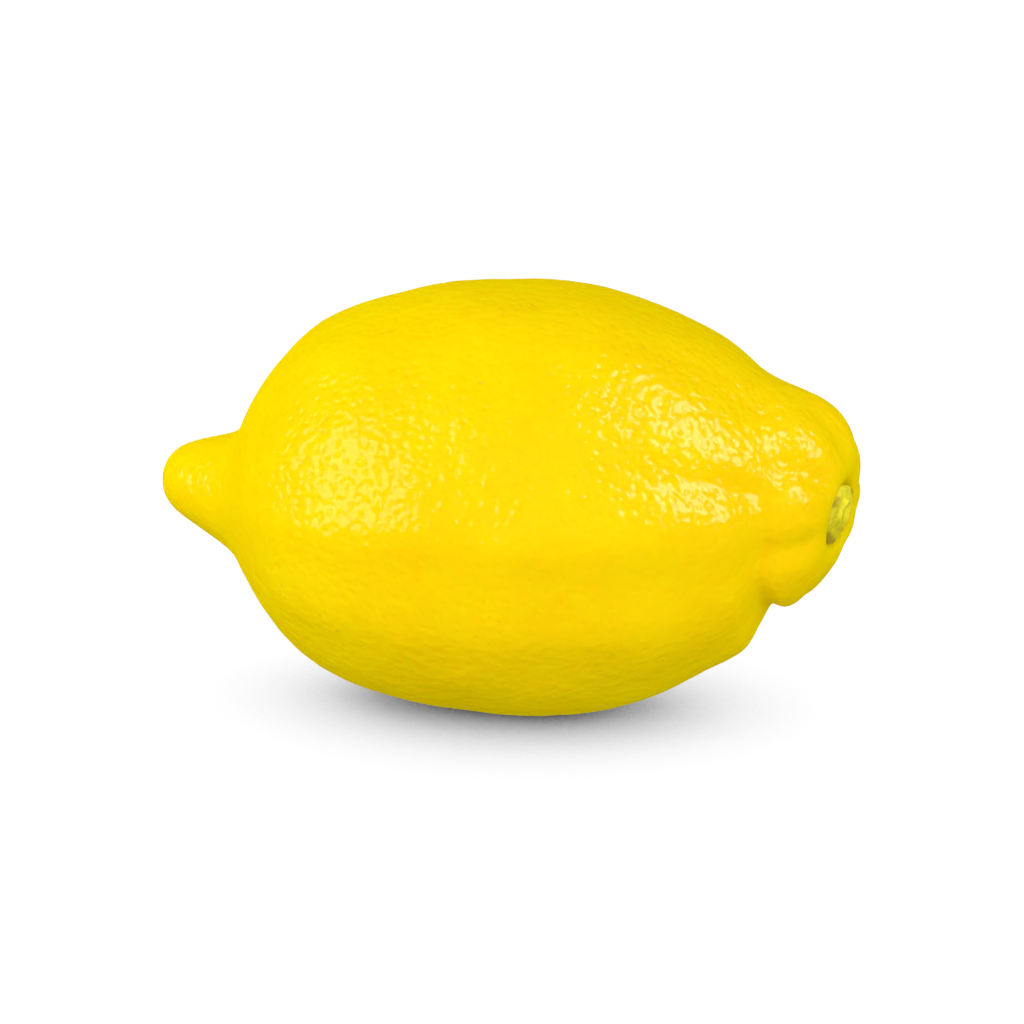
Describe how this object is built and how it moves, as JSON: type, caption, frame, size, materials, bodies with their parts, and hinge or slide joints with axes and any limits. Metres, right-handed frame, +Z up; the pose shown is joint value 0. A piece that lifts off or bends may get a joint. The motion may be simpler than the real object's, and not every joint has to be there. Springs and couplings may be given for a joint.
{
  "type": "lemon",
  "caption": "Whole fresh lemon lying on its side: plump ribbed body, blunt nipple at one end, lobed neck with the green button of its cut stem at the other.",
  "frame": {"origin": "middle of the bounding box in plan, on the surface that the lemon rests on", "axes": "+X along the fruit from the nipple to the stem end, +Z up; the lemon lies on its side"},
  "size_m": [0.0986, 0.0606, 0.0601],
  "materials": {
    "lemon_skin": null,
    "button_green": "dry matt lime-green to olive stem base, browner at its edge"
  },
  "bodies": {
    "root": {"fruit": "lemon_skin", "stem_button": "button_green"}
  },
  "joints": []
}
